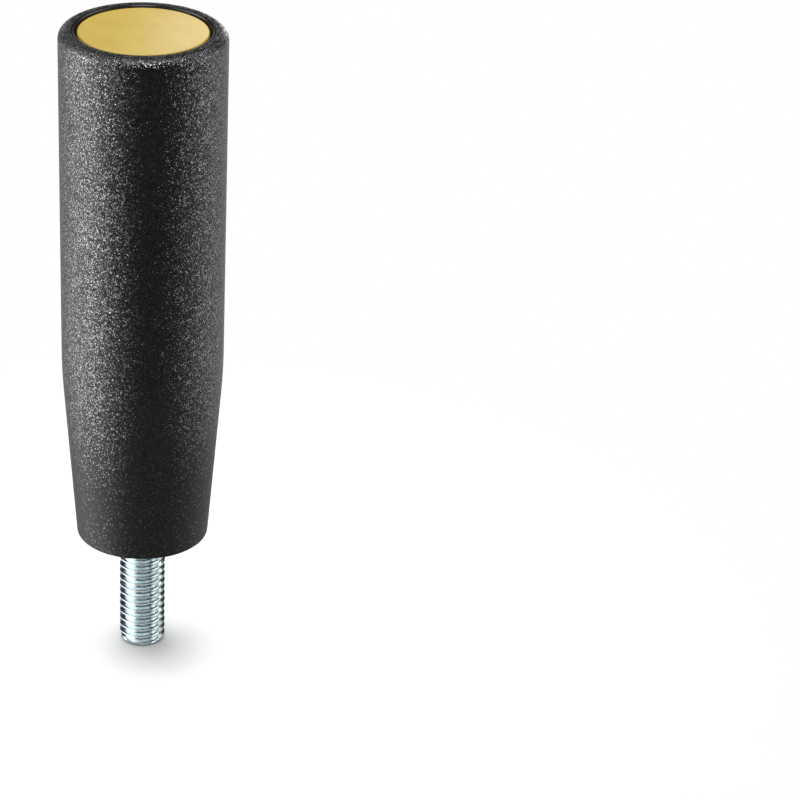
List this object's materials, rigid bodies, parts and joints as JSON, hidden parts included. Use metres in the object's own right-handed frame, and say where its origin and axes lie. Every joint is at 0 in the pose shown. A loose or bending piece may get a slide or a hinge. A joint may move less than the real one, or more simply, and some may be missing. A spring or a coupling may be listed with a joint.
{
  "type": "cylindrical handle",
  "caption": "Slim cylindrical machine handle: black moulded grip that narrows to its base, pressed-in yellow end cap and a threaded steel stud.",
  "frame": {"origin": "centre of the seating face, the flat ring at the grip's base", "axes": "+Z along the handle's axis, from the seating face towards the cap; the stud reaches down -Z"},
  "size_m": [0.0212, 0.0212, 0.0864],
  "materials": {
    "grip_plastic": "matte black, fine spark-eroded grain",
    "cap_plastic": "matte mustard yellow, smooth",
    "plated_steel": "bright bluish zinc plating"
  },
  "bodies": {
    "root": {"grip_body": "grip_plastic", "end_cap": "cap_plastic", "threaded_stud": "plated_steel"}
  },
  "joints": []
}
